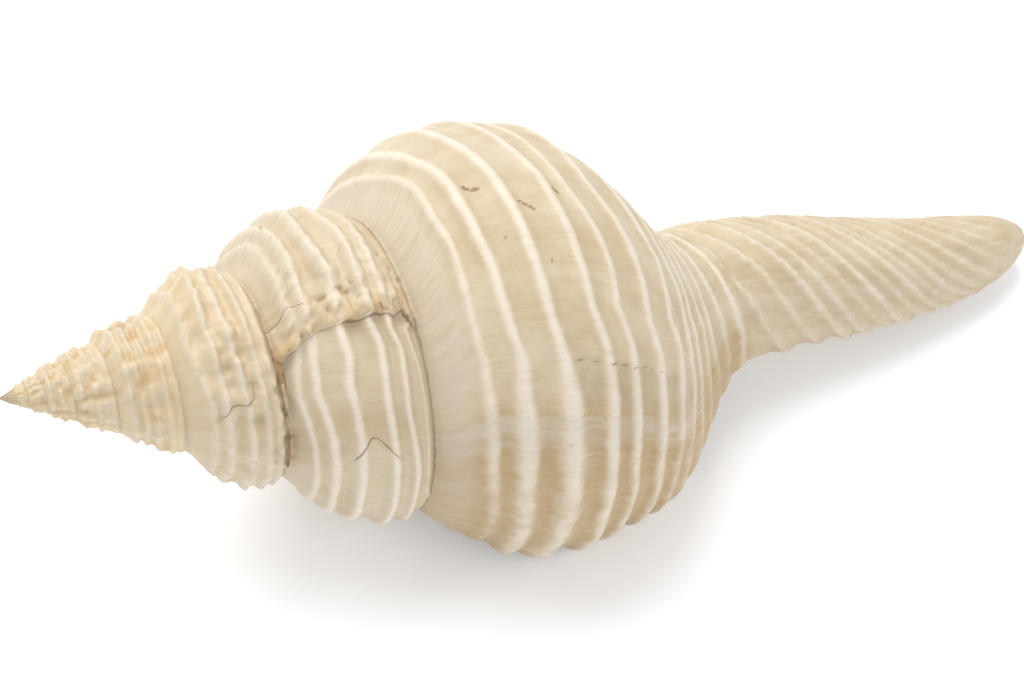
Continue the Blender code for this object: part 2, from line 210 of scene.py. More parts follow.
def cord_relief(degrees, place):
    """Height in mm of the cords, and 0 to 1 for how much of a crest each point is."""
    theta = np.radians(degrees)
    whorl = np.minimum(seam(theta + TURN)[0] - seam(theta)[0], 31)
    late = ease(2, 26, degrees)
    lip = ease(40, 88, degrees)
    tiny = 1 - ease(-1500, -1150, degrees)
    up_top = np.exp(-((np.mod(degrees + 92 + 180, 360) - 180) / 50) ** 2)
    early_height = (0.064 - 0.019 * ease(-420, -340, degrees) - 0.019 * ease(-300, -60, degrees)) * whorl
    early_height = early_height * (1 + (0.7 + 0.9 * (1 - ease(-1150, -950, degrees))) * up_top * (1 - ease(-700, -480, degrees)))
    height = early_height + (1.0 - early_height) * late + 0.15 * lip
    width = (0.062 - 0.015 * ease(-420, -200, degrees)) * whorl + 0.62 * late
    crest = np.zeros_like(place)
    stand = np.zeros_like(place)
    first = 1 - ease(-1020, -800, degrees)
    for spot, (angles, places) in enumerate(SIDE_CORDS):
        off = (place - np.interp(degrees, angles, places)) * whorl * 1.12
        wavy = 0.28 + 0.30 * (1 - ease(-760, -560, degrees)) * ease(-1300, -1000, degrees)
        off = off + wavy * rough(degrees / 360 * whorl * 5, spot * 5.1 + 0 * degrees, 4.5, 33)
        broad = (0.8, 1.0, 1.1, 1.0, 0.85, 0.5)[spot]
        broad = broad + ((0.72, 1.08, 1.35, 0.88, 0.78, 0.5)[spot] - broad) * late
        strength = (0.8, 1.0, 1.05, 1.0, 0.9, 0.6)[spot]
        strength = strength + ((0.8, 0.9, 0.8, 1.1, 0.5, 0)[spot] - strength) * first
        strength = strength * (1 - tiny * (0.0, 0.85, 0.0, 0.85, 0.2, 1.0)[spot])
        strength = strength - lip * (0.45, 0.0, 0.0, 0.0, 0.0, 0.0)[spot]
        broad = broad + ((0.9, 0.9, 1.0, 1.1, 0.8, 0.5)[spot] - broad) * first + 0.5 * tiny
        uneven = 0.16 + 0.34 * (1 - ease(-900, -560, degrees))
        wander = 1 + uneven * rough(degrees / 360 * whorl * 5, spot * 3.3 + 0 * degrees, 3.0, 31)
        swell = np.exp(-np.abs(off / (width * broad)) ** 2.2)
        stand = np.maximum(stand, swell * strength * wander)
        crest = np.maximum(crest, np.exp(-(off / (width * broad * (0.66 + 0.19 * late))) ** 2) * np.minimum(strength, 1))
    for spot, (angles, places) in enumerate(BELLY_CORDS):
        off = (place - 1 - np.interp(degrees, angles, places)) * 33
        off = off + 0.25 * rough(degrees / 360 * 150, spot * 5.1 + 0 * degrees, 4.5, 34)
        broad = (1.0 + 0.55 * late) * (1.0, 0.95, 0.9, 0.8, 0.7, 0.7, 0.8, 0.9)[spot]
        swell = np.exp(-np.abs(off / broad) ** 2.1)
        stand = np.maximum(stand, swell * (0.9, 0.75, 0.65, 0.5, 0.42, 0.42, 0.5, 0.55)[spot])
        crest = np.maximum(crest, np.exp(-(off / (broad * 0.85)) ** 2))
    stand = stand * height
    along = np.maximum(place - 1, 0.5)
    for ratio, strength in zip(CANAL_CORDS, CANAL_STRENGTH):
        off = (np.log(along / ratio) - 0.034 * theta) * 125
        off = off + 0.3 * rough(degrees / 360 * 60, ratio * 90 + 0 * degrees, 4.0, 35)
        off = np.where(place > 1.5, off, 50)
        rise = 1.0 * strength * (1 - ease(172, 188, along * neck(theta)[0]))
        side = np.where(off > 0, 1.1, 1.7)
        stand = np.maximum(stand, rise * np.exp(-np.abs(off / side) ** 1.9))
        crest = np.maximum(crest, rise * 0.9 * np.exp(-(off / 0.95) ** 2))
    valley = 0.4 * late * (1 - crest) * ease(0.1, 0.3, place) * (1 - ease(1.5, 1.9, place))
    return stand - valley * (0.6 + 0.4 * lip), np.clip(crest, 0, 1)


# The knobs, lumps and growth marks
# The first whorls are knobbed, the older shell is lumpy and worn, and a break one turn back has healed:
# the old torn edge stands proud of the new shell that was built from beneath it.
KNOBS_PER_TURN = 11
BREAK_LINE = ((-298, 0.0), (-330, 0.012), (-352, 0.03), (-358.5, 0.05), (-360.5, 0.08), (-363.4, 0.14),
              (-366.8, 0.18), (-367.8, 0.23), (-368.8, 0.38), (-369.8, 0.49), (-369.3, 0.61),
              (-370.8, 0.72), (-369.8, 0.84), (-371.5, 0.93), (-366.0, 0.97), (-364.0, 1.0))
CRACKS = (
    ((-318.9, 0.42), (-323.0, 0.47), (-327.2, 0.53), (-327.2, 0.57), (-325.3, 0.61), (-321.4, 0.69)),
    ((-692.6, 0.35), (-699.0, 0.44), (-700.0, 0.60), (-702.9, 0.70), (-709.2, 0.71)),
    ((-730.0, 0.25), (-728.0, 0.45), (-725.0, 0.69)),
    ((-373.7, 0.01), (-376.1, 0.09), (-380.5, 0.14), (-379.1, 0.24)),
    ((-39.8, 0.405), (-38.2, 0.43), (-38.0, 0.462)),
    ((-31.0, 0.61), (-29.6, 0.64), (-28.2, 0.665)),
    ((-33.8, 0.825), (-32.6, 0.84)),
    ((6.2, 0.222), (6.8, 0.24), (6.6, 0.275)),
    ((9.4, 0.455), (9.8, 0.52)),
    ((9.8, 0.61), (10.6, 0.70), (11.4, 0.755)),
    ((11.8, 0.80), (13.4, 0.90), (15.2, 1.02), (18.0, 1.14)),
    ((22.4, 0.41), (22.8, 0.50)),
    ((22.6, 0.585), (24.0, 0.70), (25.2, 0.745)),
    ((-430.0, 0.30), (-436.0, 0.36), (-440.0, 0.34)))
CRACK_DEPTH = (0.25, 0.5, 0.22, 0.28, 0.35, 0.35, 0.3, 0.18, 0.12, 0.12, 0.12, 0.10, 0.10, 0.25)
CRACK_STAIN = (0.55, 0.22, 0.05, 0.25, 1.0, 0.9, 1.0, 0.6, 0.45, 0.50, 0.50, 0.35, 0.45, 0.6)
OPEN_CRACKS = 4
PITS = ((-22, 0.47, 0.4), (38, 1.62, 0.9), (41.6, 1.38, 0.7), (-14, 0.64, 0.3), (30, 0.55, 0.3))
# The whorls sit lower against each other on the side away from the mouth: the middle of that side on each
# turn, how deep the seam above it is notched, how much its flank sinks, and how far the seam slides.
TOP_SIDES = ((-92, 2.6, 0.7, 1.7), (-452, 2.6, 1.4, 1.4), (-812, 1.0, 0.4, 0.9), (-1172, 0.6, 0.0, 0.0))


def from_line(degrees, place, line):
    """Signed distance in mm to a line on the wall."""
    theta = np.radians(degrees)
    whorl = np.clip(seam(theta + TURN)[0] - seam(theta)[0], 1, 33) * 1.12
    reach, radius = plain_wall(theta, place)
    middle = np.radians(line[len(line) // 2][0])
    size = float(plain_wall(middle, line[len(line) // 2][1])[1])
    x = (degrees - line[0][0]) * pi / 180 * size
    y = place * whorl
    best = np.full_like(place, 99.0)
    signed = np.full_like(place, 99.0)
    for (start_angle, start_place), (end_angle, end_place) in zip(line, line[1:]):
        x0 = (start_angle - line[0][0]) * pi / 180 * size
        x1 = (end_angle - line[0][0]) * pi / 180 * size
        y0 = start_place * whorl
        y1 = end_place * whorl
        length = (x1 - x0) ** 2 + (y1 - y0) ** 2
        share = np.clip(((x - x0) * (x1 - x0) + (y - y0) * (y1 - y0)) / length, 0, 1)
        gap = np.hypot(x - x0 - share * (x1 - x0), y - y0 - share * (y1 - y0))
        side = np.sign((x1 - x0) * (y - y0) - (y1 - y0) * (x - x0))
        closer = gap < best
        best = np.where(closer, gap, best)
        signed = np.where(closer, gap * side, signed)
    return signed


def top_side(degrees, kind):
    """One of the three amounts of TOP_SIDES in mm at an angle."""
    return sum(side[kind] * np.exp(-((degrees - side[0]) / 42) ** 2) for side in TOP_SIDES)


def sunk_by(degrees, place):
    """How far in mm the wall sinks at the seams and flanks of the side away from the mouth."""
    notch = top_side(degrees, 1) * np.exp(-(place / 0.28) ** 2)
    notch = notch + top_side(degrees + 360, 1) * np.exp(-((1 - place) / 0.22) ** 2)
    flank = top_side(degrees, 2) * ease(0.25, 0.6, place) * (1 - ease(0.84, 1.0, place))
    lip = 1.0 * ease(48, 84, degrees) * ease(0.12, 0.35, place) * (1 - ease(0.85, 1.0, place))
    return np.where(place <= 1, notch + flank + lip, 0)


def slid_by(degrees, place):
    """How far in mm the wall slides towards the canal near the seams of that side."""
    theta = np.radians(degrees)
    wide = (seam(theta + TURN)[0] - seam(theta)[0]) * 1.12
    slide = top_side(degrees, 3) * np.exp(-(place * wide / 6) ** 2)
    slide = slide + top_side(degrees + 360, 3) * np.exp(-((1 - place) * wide / 6) ** 2)
    return slide * (place <= 1)


def wall_relief(degrees, place):
    """All that stands up on the wall in mm, with the masks that its finish needs."""
    theta = np.radians(degrees)
    reach, radius = plain_wall(theta, place)
    stage = degrees - 13 * ease(0.62, 1.45, place) - 10 * (1 - ease(0, 0.25, place))
    growth_rate = log(WHORL_RATIO) / TURN
    arc = (28 - 14 * ease(1.5, 2.6, place)) * (np.exp(growth_rate * np.radians(stage)) - 1) / growth_rate
    wide = np.clip(seam(theta + TURN)[0] - seam(theta)[0], 1, 31)
    across = reach * 1.12
    stand, crest = cord_relief(degrees, place)
    on_side = place <= 1
    lumps = rough(arc, across, 4.2, 3) + 0.5 * rough(arc, across, 1.9, 5)
    grains = rough(arc, across, 1.0, 7) + 0.6 * rough(arc, across, 0.55, 9)

    jitter = 1.3 * rough(across, arc, 2.8, 11) + 0.7 * rough(across, arc, 1.0, 12)
    tear = from_line(degrees + jitter, place, BREAK_LINE)
    one_back = on_side & (degrees > -450) & (degrees < -230)
    past = np.where(one_back, -tear, np.where(degrees < -400, -30.0, 30.0))
    past = np.where(on_side, past, 30.0)
    old = 1 - ease(-0.2, 0.2, past)
    rim = ease(-4.2, -2.4, past) * (1 - ease(-0.2, 0.25, past))
    proud = 0.45 * ease(-20, 0, past) * (1 - ease(-0.2, 0.25, past)) + 0.65 * rim
    proud = proud * (1 + 0.75 * rough(arc, across, 2.2, 41) + 0.6 * rough(arc, across, 0.9, 42))
    sunk = -0.65 * ease(-0.2, 0.25, past) * (1 - ease(0, 34, past))
    edge_seam = ease(0.0, 0.03, place) * (1 - ease(0.975, 1.0, place))
    stand = stand * (1 - 0.65 * ease(-3.6, -1.6, past) * old)
    stand = stand + (proud + sunk) * np.where(on_side, edge_seam, 0)
    ragged = ease(-364, -354, degrees) * (1 - ease(-304, -284, degrees))
    above = ease(-364 - 360, -354 - 360, degrees) * (1 - ease(-304 - 360, -284 - 360, degrees))
    lifted = ragged * np.exp(-(place * wide / 0.45) ** 2) + above * np.exp(-((1 - place) * wide / 2.2) ** 2)
    lifted = lifted * (1 + 0.9 * rough(arc, across, 1.7, 51) + 0.7 * rough(arc, across, 0.8, 52))
    stand = stand + np.where(on_side, 0.95 * lifted, 0)
    stand = stand - sunk_by(degrees, place)
    stand = stand + 0.95 * np.exp(-((degrees + 92) / 42) ** 2 - ((place - 1.05) / 0.10) ** 2)

    early = 1 - ease(-1150, -760, degrees)
    grain = np.clip(0.10 * seam(theta)[0], 0.5, 2.6)
    wave = 0.5 * (1 + np.cos(KNOBS_PER_TURN * theta + 2.6 * np.sin(theta * 2.3) + 2.5 * place))
    wave = 0.45 * wave + 0.55 * (0.5 + 0.9 * rough(4.8 * theta, across / grain, 1.0, 17))
    span = np.sin(pi * np.clip(place, 0, 1))
    flat = 0.40 * early * 0.68 * wide * span * place ** 0.5
    stand = stand + np.where(on_side, early * (0.062 + 0.040 * (1 - ease(-1350, -1050, degrees))) * seam(theta)[0] * (wave - 0.4) * span ** 0.5 - flat, 0)
    stand = stand * (1 + np.where(on_side, 0.5 * early * (wave - 0.4), 0))
    folds = (1 - ease(-700, -480, degrees)) * ease(-1500, -800, degrees)
    soft = rough(arc * 0.8, across * 0.5, 1.9, 19) + 0.6 * rough(arc, across, 1.2, 23)
    stand = stand + np.where(on_side, folds * (0.85 * soft + 0.12 * grains) * span, 0)

    size = np.clip(seam(theta)[0] / 36, 0.1, 1.0)
    near_edge = ease(-16, -1, past) * old
    worn = old * (0.28 * lumps + 0.10 * grains) + (1 - old) * (0.08 * lumps + 0.02 * grains)
    worn = worn + near_edge * (0.42 * lumps + 0.20 * grains)
    seam_fade = np.where(on_side, ease(0, 0.06, place) * (1 - ease(0.94, 1.0, place)), 1.0)
    last_fade = np.where(degrees > -268, 1.0, seam_fade)
    stand = stand + worn * size * np.where(on_side, np.where(place < 0.5, seam_fade, last_fade), 1.0)

    nearest = np.full_like(place, 9.0)
    for spot, (line, depth, stain) in enumerate(zip(CRACKS, CRACK_DEPTH, CRACK_STAIN)):
        gap = from_line(degrees + 0.12 * jitter, place, line)
        gap = gap if spot < OPEN_CRACKS else np.abs(gap)
        near = np.abs(degrees - line[0][0]) < 60
        gap = np.where(near, gap, 9.0)
        stand = stand - depth * 0.6 * np.exp(-(gap / 0.38) ** 2)
        if spot < OPEN_CRACKS:
            stand = stand - 0.5 * depth * (gap > 0) * np.exp(-np.abs(gap) / 1.6)
        mark = gap / stain if spot < OPEN_CRACKS else gap - 0.18 + 0.5 * (1 - stain)
        nearest = np.where(np.abs(mark) < np.abs(nearest), mark, nearest)
    pitted = np.zeros_like(place)
    for angle, spot, size_mm in PITS:
        whorl = np.clip(seam(theta + TURN)[0] - seam(theta)[0], 1, 33)
        gap = np.hypot((degrees - angle) * pi / 180 * radius, (place - spot) * whorl * 1.12)
        pitted = np.maximum(pitted, np.exp(-(gap / (size_mm * 0.7)) ** 2))
    worm = rough(arc, across, 0.75, 21) + 0.6 * rough(arc, across, 2.4, 22)
    holes = ease(0.55, 1.0, worm) * old * ease(-26, -4, past) * (degrees > -460) * ease(0.05, 0.15, place)
    holes = holes * (1 - 0.75 * crest)
    stand = stand - 0.35 * pitted - 0.38 * holes

    fresh = ease(-1000, -800, degrees)
    from_upper = place * wide * 1.12 + 0.35 * (1 - ease(-440, -380, degrees)) + 3 * (1 - fresh)
    from_lower = (1 - place) * wide * 1.12 + 0.35 * (1 - ease(-800, -740, degrees)) + 3 * (1 - fresh)
    seam_gap = np.minimum(from_upper, from_lower + 9 * (degrees > -268))
    torn_seam = np.where(place < 0.5, ragged, above)
    seam_gap = seam_gap - 0.9 * torn_seam * np.clip(0.3 + rough(arc, across, 1.3, 53), 0, 1)
    below = ease(0.56, 0.64, place) * (1 - ease(1.3, 1.6, place))
    spire = 1 - ease(-800, -560, degrees)
    late_lip = ease(20, 60, degrees)
    first_whorls = 1 - ease(-1150, -760, degrees)
    middle_canal = ease(1.9, 2.1, place) * (1 - ease(2.38, 2.55, place))
    low = ease(8, 30, degrees) * ease(0.9, 1.4, place) * (1 - ease(1.8, 2.0, place))
    pale = (degrees > -200) * (1 - ease(0.10, 0.24, place)) * on_side
    masks = {
        # The cords' white is weakened towards the lip (late_lip) and on the lower belly (low): painted shade of the
        # shell's lower side.
        "cord": crest * (1 - 0.50 * spire - 0.40 * old * (1 - spire)) * (1 - 0.25 * late_lip - 0.35 * low - 0.2 * middle_canal),
        "furrow": (1 - crest) * (0.40 + 0.60 * old - 0.10 * first_whorls + 0.35 * middle_canal),
        "late": ease(6, 34, stage) * (1 - ease(1.9, 2.05, place)),
        "old": old,
        # The pale shoulder coat is cut back towards the lip, so that the lower shoulder shows darker: painted shade.
        "shoulder": pale * (1 - 0.4 * ease(0, 30, degrees)),
        "smoke": ease(7, 10, stage) * (1 - ease(20, 23.5, stage)) * below,
        "veil": ease(21.5, 24, stage) * (1 - ease(27, 37, stage)) * (1 - ease(1.3, 1.6, place)),
        # Knob colour lies in the hollows between the knobs and in the valleys of the spire: partly tan colour, partly
        # painted shade in these hollows.
        "knob": np.where(on_side, early * (1 - wave), 0) + 0.45 * spire * (1 - early) * (1 - crest) * on_side,
        "rim": ease(-5.5, -0.6, past) * old * (past > -9),
        "seam": np.where(on_side, seam_gap, 9.0),
        "line": nearest,
        # Edge colour lies just on the new shell under the torn rim: painted shade under the step, with some brown
        # stain.
        "edge": np.clip(past - 0.15, -9, 9),
        "pit": np.clip(pitted + holes, 0, 1),
    }
    return stand, masks, arc, across


# The shell
# One wall, 2 mm thick, from the worn tip to the lip that the shell lies on. Its outside is chalky, with
# the mouth behind the lip and the open groove of the canal finished smooth by the animal's mantle.
WALL = 2.2
LIP_EDGE = 0.9
CALLUS = 0.4
MOUTH_DEPTH = radians(250)
GROOVE_DEPTH = radians(48)
GROOVE_FLOOR = 0.30
ROLL = radians(-53.1)
DIP = radians(11.9)
near_rows = np.linspace(92, -96, 189)
far_rows = np.linspace(-96, -268, 57)[1:]
turn_rows = np.concatenate([near_rows, far_rows])
side_steps = np.linspace(0, 1, 65)
belly_steps = 1 + np.linspace(0, 1, 61)[1:]
MASKS = ("cord", "furrow", "late", "old", "shoulder", "smoke", "veil", "knob", "rim", "seam", "line", "edge", "pit")
DISTANCES = ("seam", "line", "edge")
points = []
grow = []
finish = {name: [] for name in MASKS + ("inside",)}
polygons = []


def lay_wall(degrees, place, inside=0.0):
    """Add outside points for arrays of angle and place, and return their numbers."""
    start = sum(len(part) for part in points)
    stand, masks, arc, across = wall_relief(degrees, place)
    theta = np.radians(degrees)
    reach, radius = plain_wall(theta, place)
    radius = radius + stand
    middle = LIP_ANGLE - pi
    closed = middle + (theta - middle) * (1 - slit_gap(reach, radius) / TURN)
    angle = np.where(theta > LIP_ANGLE - TURN - 1e-6, closed, theta)
    points.append(at(angle, reach + slid_by(degrees, place), radius).reshape(-1, 3))
    grow.append(np.stack(np.broadcast_arrays(arc, across, 0 * arc), -1).reshape(-1, 3))
    for name in MASKS:
        finish[name].append(np.broadcast_to(masks[name], place.shape).ravel().astype(float))
    finish["inside"].append(np.full(place.size, inside))
    return np.arange(place.size).reshape(place.shape) + start


def join_rows(first, second):
    """Faces between two rows, where the second may have half as many steps as the first."""
    ratio = (len(first) - 1) // (len(second) - 1)
    for step in range(len(second) - 1):
        upper = [first[step * ratio + extra] for extra in range(ratio + 1)]
        corners = upper + [second[step + 1], second[step]]
        kept = [int(c) for spot, c in enumerate(corners) if c not in corners[:spot]]
        if len(kept) > 2:
            polygons.append(kept)


tube_steps = 76
angles, side_places = np.meshgrid(turn_rows, np.concatenate([side_steps, belly_steps]), indexing="ij")
first_reach = neck(np.radians(turn_rows))[0]
share = np.linspace(0, 1, tube_steps + 1)[1:]
share = share ** 0.96
tube_reach = first_reach[:, None] + (SHELL_LENGTH - 0.3 - first_reach[:, None]) * share[None, :]
tube_places = 1 + tube_reach / first_reach[:, None]
places = np.concatenate([side_places, tube_places], axis=1)
angles = np.broadcast_to(turn_rows[:, None], places.shape)
body = lay_wall(angles, places)
body[-1, 64] = body[0, 0]
for near, far in zip(body, body[1:]):
    join_rows(near, far)
newer = body[:, :65]
for turn, steps in enumerate((64, 32, 32, 16, 16, 8, 8), start=1):
    spread = np.linspace(0, 1, steps + 1)[:-1]
    angles, places = np.meshgrid(turn_rows[1:] - 360 * turn, spread, indexing="ij")
    rest = lay_wall(angles, places)
    grid = np.concatenate([rest, newer[1:, :1]], axis=1)
    first = newer[-1]
    for near, far in zip([first] + list(grid), grid):
        join_rows(near, far)
    coarse = first[::(len(first) - 1) // steps]
    newer = np.concatenate([coarse[None, :], grid], axis=0)
tip = sum(len(part) for part in points)
points.append(np.array([[0.4, 0.0, 0.0]]))
grow.append(np.array([[-40.0, 0.0, 0.0]]))
for name in MASKS + ("inside",):
    finish[name].append(np.array([9.0 if name in DISTANCES else 0.5 if name in ("old", "knob", "furrow") else 0.0]))
rim = list(newer[:, 0]) + list(newer[-1, 1:])
for near, far in zip(rim, rim[1:]):
    polygons.append([int(near), int(far), tip])


def line_hollow(share, reach, pillar_side):
    """Points of the hollow behind the lip, on its outer wall or on its pillar."""
    base = LIP_ANGLE - (TURN if pillar_side else 0)
    place = place_of(base, reach)
    groove = ease(100, 124, reach)
    depth = MOUTH_DEPTH + (GROOVE_DEPTH - MOUTH_DEPTH) * groove
    theta = base - depth * share
    if pillar_side:
        radius = plain_wall(theta, np.minimum(place, 2.0))[1]
        pillar_reach = plain_wall(theta, np.minimum(place, 2.0))[0]
        tube = canal(theta, reach)[1]
        radius = np.where(place > 2, tube, radius)
        out_reach = np.where(place > 2, reach, pillar_reach)
        near_seam = np.exp(-(np.maximum(place - 1, 0) / 0.2) ** 2)
        sink = top_side(np.degrees(theta) + 360, 1) * near_seam
        out_reach = out_reach + top_side(np.degrees(theta) + 360, 3) * near_seam
        smooth = radius + CALLUS * (1 - groove) - sink
        trough = (radius - 0.7) * (1 - share) + GROOVE_FLOOR * radius * share
        angle = theta + 0.5 * slit_gap(reach, radius) * (1 - share)
        return at(angle, out_reach, smooth + (trough - smooth) * groove)
    flat_reach, radius = plain_wall(theta, place)
    radius = np.where(place > 2, canal(theta, reach)[1], radius)
    flat_reach = np.where(place > 2, reach, flat_reach)
    wave = cord_relief(np.degrees(LIP_ANGLE) + 0 * place, place)[0] * (1 - ease(0, 0.07, share))
    wall = LIP_EDGE + (WALL - LIP_EDGE) * ease(0, 0.06, share)
    degrees = np.degrees(theta) + 0 * place
    smooth = radius - wall * np.where(place < 0.3, 1.15, 1.0) + 0.75 * wave - sunk_by(degrees, place)
    trough = (radius - 0.7) * (1 - share) + GROOVE_FLOOR * radius * share
    angle = theta - 0.5 * slit_gap(flat_reach, radius) * (1 - share)
    tuck = wall * 0.5 * (1 - ease(0.1, 0.5, place)) + slid_by(degrees, place)
    return at(angle, flat_reach + tuck, smooth + (trough - smooth) * groove)


def lay_inside(spots, depth_mm):
    """Add smooth inside points, and return their numbers."""
    start = sum(len(part) for part in points)
    points.append(spots)
    grow.append(np.stack([depth_mm, spots[:, 0], 0 * depth_mm], -1))
    for name in MASKS:
        finish[name].append(np.full(len(spots), 9.0 if name in DISTANCES else 0.0))
    finish["inside"].append(np.full(len(spots), 1.0))
    return np.arange(len(spots)) + start


def zip_rows(first, second, first_steps, second_steps):
    """Triangles and quads between two rows that differ in number."""
    a = 0
    b = 0
    while a < len(first) - 1 or b < len(second) - 1:
        a_next = first_steps[a + 1] if a < len(first) - 1 else 1e9
        b_next = second_steps[b + 1] if b < len(second) - 1 else 1e9
        if abs(a_next - b_next) < 1e-6:
            corners = [first[a], first[a + 1], second[b + 1], second[b]]
            a += 1
            b += 1
        elif a_next < b_next:
            corners = [first[a], first[a + 1], second[b]]
            a += 1
        else:
            corners = [first[a], second[b + 1], second[b]]
            b += 1
        kept = [int(c) for spot, c in enumerate(corners) if c not in corners[:spot]]
        if len(kept) > 2:
            polygons.append(kept)


rungs = 110
depths = np.concatenate([[0, 0.006, 0.014, 0.025, 0.04, 0.06, 0.085, 0.12], np.linspace(0.16, 1, 20)])
lip_start = float(plain_wall(LIP_ANGLE, np.array(0.0))[0])
rung_reach = np.linspace(lip_start, SHELL_LENGTH - 0.3, rungs + 1)
outer_rows = []
inner_rows = []
for deep in depths:
    corner_theta = LIP_ANGLE - MOUTH_DEPTH * deep
    corner_reach, corner_radius = seam(corner_theta)
    tuck = 0.5 + 2.6 * float(ease(0, 0.06, deep))
    sink = float(top_side(np.degrees(corner_theta), 1))
    tuck = tuck + float(top_side(np.degrees(corner_theta), 3))
    corner = at(corner_theta, corner_reach + tuck, corner_radius - 0.1 * tuck - sink).reshape(1, 3)
    depth_mm = np.full(rungs, deep * 60.0)
    outer = line_hollow(deep, rung_reach[1:], False)
    inner = line_hollow(deep, rung_reach[1:], True)
    corner_number = lay_inside(corner, np.array([deep * 60.0]))
    outer_rows.append(np.concatenate([corner_number, lay_inside(outer, depth_mm)]))
    inner_rows.append(np.concatenate([corner_number, lay_inside(inner, depth_mm)]))
lip_row = body[0]
lip_reach = plain_wall(np.radians(turn_rows[0]), np.concatenate([side_steps, belly_steps, tube_places[0]]))[0]
back_row = body[-1][64:]
back_reach = plain_wall(np.radians(turn_rows[-1]), np.concatenate([side_steps, belly_steps, tube_places[-1]]))[0][64:]
zip_rows(outer_rows[0], lip_row, rung_reach, lip_reach)
zip_rows(back_row, inner_rows[0], back_reach, rung_reach)
for near, far in zip(outer_rows, outer_rows[1:]):
    zip_rows(far, near, rung_reach, rung_reach)
for near, far in zip(inner_rows, inner_rows[1:]):
    zip_rows(near, far, rung_reach, rung_reach)
zip_rows(inner_rows[-1], outer_rows[-1], rung_reach, rung_reach)
nose = body[:, -1]
groove_end = [row[-1] for row in outer_rows] + [row[-1] for row in reversed(inner_rows)]
zip_rows(groove_end, nose, np.linspace(0, 1, len(groove_end)), np.linspace(0, 1, len(nose)))

cad_shell = bpy.data.objects["shell"]
cad_points = np.array([cad_shell.matrix_world @ vertex.co for vertex in cad_shell.data.vertices])
turned = Matrix.Rotation(DIP, 3, "Y") @ Matrix.Rotation(ROLL, 3, "X")
turned_array = np.array(turned)
cad_tip = cad_points[cad_points[:, 0].argmin()]
offset = cad_tip - turned_array @ np.array([0.0004, 0.0, 0.0])
spots = np.concatenate(points) * 0.001 @ turned_array.T + offset
spots[:, 2] = np.maximum(spots[:, 2], 0.0)
mesh = bpy.data.meshes.new("conch_shell")
mesh.from_pydata([tuple(map(float, spot)) for spot in spots], [], polygons)
mesh.update()
mesh.polygons.foreach_set("use_smooth", [True] * len(mesh.polygons))
layer = mesh.attributes.new("grow", "FLOAT_VECTOR", "POINT")
layer.data.foreach_set("vector", np.concatenate(grow).astype(np.float32).ravel())
for name in MASKS + ("inside",):
    layer = mesh.attributes.new(name, "FLOAT", "POINT")
    layer.data.foreach_set("value", np.concatenate(finish[name]).astype(np.float32))
shell = bpy.data.objects.new("conch_shell", mesh)
bpy.context.scene.collection.objects.link(shell)


def colour(code):
    """Linear colour from an sRGB hex value."""
    parts = [int(code[spot:spot + 2], 16) / 255 for spot in (1, 3, 5)]
    return [p / 12.92 if p <= 0.04045 else ((p + 0.055) / 1.055) ** 2.4 for p in parts] + [1.0]


# Aragonite shell, weathered: a dull chalky satin, with white cords over tan ground and fine growth lines.
# A little light goes in at thin places, and dirt has stayed in the seams, cracks and pits. Shade is also painted in:
# under the torn rim, in the hollows between the knobs, and on the lower side towards the lip.
chalk = bpy.data.materials.new("weathered_aragonite")
chalk.use_nodes = True
tree = chalk.node_tree
surface = tree.nodes["Principled BSDF"]


def add(kind, inputs, output=0, **settings):
    """Add a node with its settings and with values or links on its inputs, and return an output."""
    node = tree.nodes.new(kind)
    for name, value in settings.items():
        setattr(node, name, value)
    for socket, given in inputs.items():
        if isinstance(given, bpy.types.NodeSocket):
            tree.links.new(given, node.inputs[socket])
        else:
            node.inputs[socket].default_value = given
    return node.outputs[output]


# Patterns laid along the growth of the wall: size in mm, stretch across the whorl, detail and start.
# Real growth lines are 0.1 to 0.3 mm apart; the striae are drawn at 0.5 mm so that they show.
growth = add("ShaderNodeAttribute", {}, "Vector", attribute_name="grow")
patterns = {"even": None}
for name, size, stretch, detail, start in (
        ("striae", 0.50, 0.045, 4.0, 3.1), ("bands", 4.5, 0.25, 3.0, 8.2), ("streaks", 1.1, 0.05, 5.0, 6.6),
        ("clouds", 7.0, 0.7, 4.0, 1.4), ("speckle", 0.7, 1.0, 5.0, 5.6), ("blotch", 2.6, 1.0, 4.0, 9.9),
        ("patches", 3.4, 0.5, 3.0, 12.7)):
    laid = add("ShaderNodeMapping", {"Vector": growth, "Location": (start, start * 1.7, start * 0.3),
                                     "Scale": (1 / size, stretch / size, 1 / size)})
    patterns[name] = add("ShaderNodeTexNoise", {"Vector": laid, "Scale": 1.0, "Detail": detail, "Roughness": 0.58})

